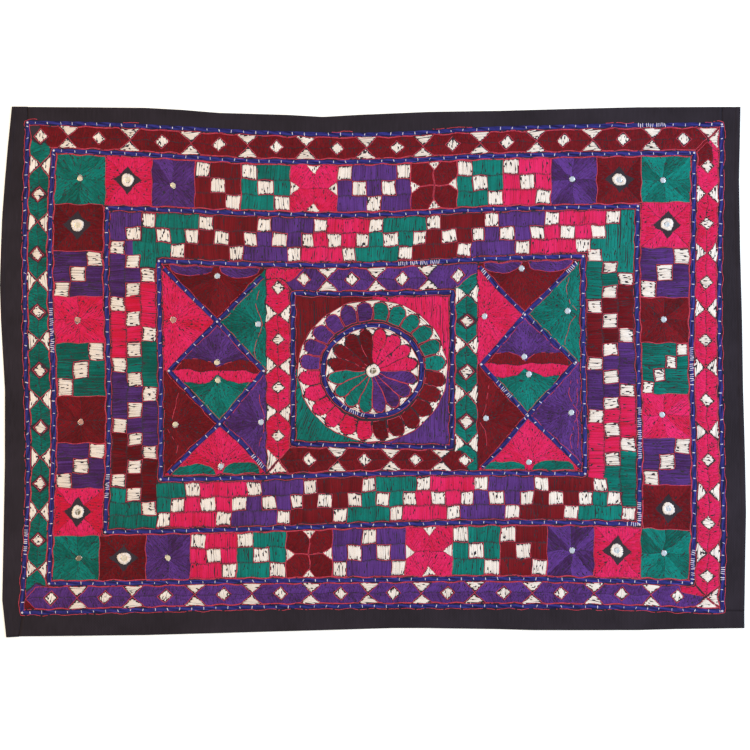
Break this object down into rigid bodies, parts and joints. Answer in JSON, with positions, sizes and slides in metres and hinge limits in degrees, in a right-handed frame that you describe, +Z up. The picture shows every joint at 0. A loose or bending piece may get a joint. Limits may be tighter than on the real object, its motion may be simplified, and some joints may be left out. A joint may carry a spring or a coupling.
{
  "type": "embroidered tablecloth",
  "caption": "Flat cotton tablecloth covered with bands of satin-stitched blocks, lozenges and petals, laid blue braids and small round mirrors, with a black cotton border.",
  "frame": {"origin": "under the middle of the cloth, on the surface that it lies on", "axes": "+X along the long side to the right, +Y to the far long edge, +Z up out of the worked side"},
  "size_m": [1.1184, 0.796, 0.0034],
  "materials": {
    "stitched_panel": "satin-stitched floss over black cotton",
    "black_cotton": "matte plain weave",
    "blue_braid": "laid blue thread with white couching stitches",
    "mirror_glass": "polished, slightly domed"
  },
  "bodies": {
    "root": {"embroidered_panel": "stitched_panel", "border_left": "black_cotton", "border_top": "black_cotton", "border_right": "black_cotton", "border_bottom": "black_cotton", "braid_outer": "blue_braid", "braid_second": "blue_braid", "braid_third": "blue_braid", "braid_inner": "blue_braid", "braid_square": "blue_braid", "braid_ring": "blue_braid", "braid_hourglass_left": "blue_braid", "braid_hourglass_right": "blue_braid", "ringed_mirror_1": "mirror_glass", "ringed_mirror_2": "mirror_glass", "ringed_mirror_3": "mirror_glass", "ringed_mirror_4": "mirror_glass", "ringed_mirror_5": "mirror_glass", "ringed_mirror_6": "mirror_glass", "ringed_mirror_7": "mirror_glass", "ringed_mirror_8": "mirror_glass", "ringed_mirror_9": "mirror_glass", "small_mirror_01": "mirror_glass", "small_mirror_02": "mirror_glass", "small_mirror_03": "mirror_glass", "small_mirror_04": "mirror_glass", "small_mirror_05": "mirror_glass", "small_mirror_06": "mirror_glass", "small_mirror_07": "mirror_glass", "small_mirror_08": "mirror_glass", "small_mirror_09": "mirror_glass", "small_mirror_10": "mirror_glass", "small_mirror_11": "mirror_glass", "small_mirror_12": "mirror_glass", "small_mirror_13": "mirror_glass", "small_mirror_14": "mirror_glass", "small_mirror_15": "mirror_glass", "small_mirror_16": "mirror_glass", "small_mirror_17": "mirror_glass", "small_mirror_18": "mirror_glass", "small_mirror_19": "mirror_glass", "small_mirror_20": "mirror_glass", "small_mirror_21": "mirror_glass", "small_mirror_22": "mirror_glass", "small_mirror_23": "mirror_glass", "small_mirror_24": "mirror_glass", "small_mirror_25": "mirror_glass", "small_mirror_26": "mirror_glass", "small_mirror_27": "mirror_glass", "small_mirror_28": "mirror_glass"}
  },
  "joints": []
}
